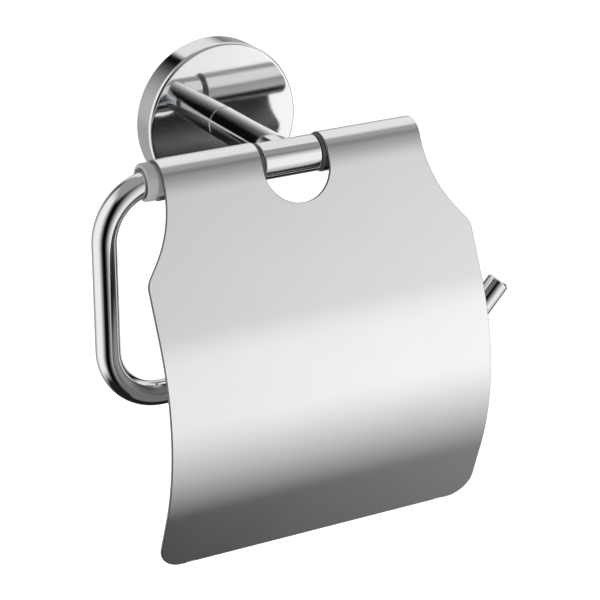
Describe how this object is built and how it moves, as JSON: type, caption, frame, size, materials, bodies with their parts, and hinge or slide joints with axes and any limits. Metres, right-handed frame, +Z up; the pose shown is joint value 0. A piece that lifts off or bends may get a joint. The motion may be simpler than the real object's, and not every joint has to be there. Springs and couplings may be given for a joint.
{
  "type": "toilet paper holder",
  "caption": "Wall-mounted toilet paper holder: a round rosette and post carry an open bent bar, with a curved sheet cover that swings on the bar's upper run.",
  "frame": {"origin": "centre of the rosette's back, on the wall plane", "axes": "+X to the right of a person who faces the wall, -Y out of the wall, +Z up"},
  "size_m": [0.1526, 0.0853, 0.1496],
  "materials": {
    "zinc": "plain zinc plated",
    "chrome": "polished",
    "zinc_small": "plain zinc plated",
    "chrome_post": "polished",
    "zinc_tie": "plain zinc plated",
    "zinc_washer": "plain zinc plated",
    "chrome_hub": "polished",
    "zinc_set": "plain zinc plated",
    "chrome_bar": "polished",
    "cover_sheet": "satin plated sheet",
    "bush_left": "moulded",
    "bush_inner_l": "moulded",
    "bush_inner_r": "moulded",
    "bush_cap": "moulded"
  },
  "bodies": {
    "holder": {"wall_bracket": "zinc", "rosette": "chrome", "rosette_lock_screw": "zinc_small", "post": "chrome_post", "tie_screw": "zinc_tie", "lock_washer": "zinc_washer", "hub": "chrome_hub", "hub_set_screw": "zinc_set", "bar": "chrome_bar"},
    "cover_flap": {"cover": "cover_sheet", "bush_end_left": "bush_left", "bush_inner_left": "bush_inner_l", "bush_inner_right": "bush_inner_r", "bush_end_cap": "bush_cap"}
  },
  "joints": [
    {"name": "cover_hinge", "type": "hinge", "parent": "holder", "child": "cover_flap", "pos_m": [0, -0.0525, 0], "axis": [-1, 0, 0], "range_deg": [-21, 190]}
  ]
}
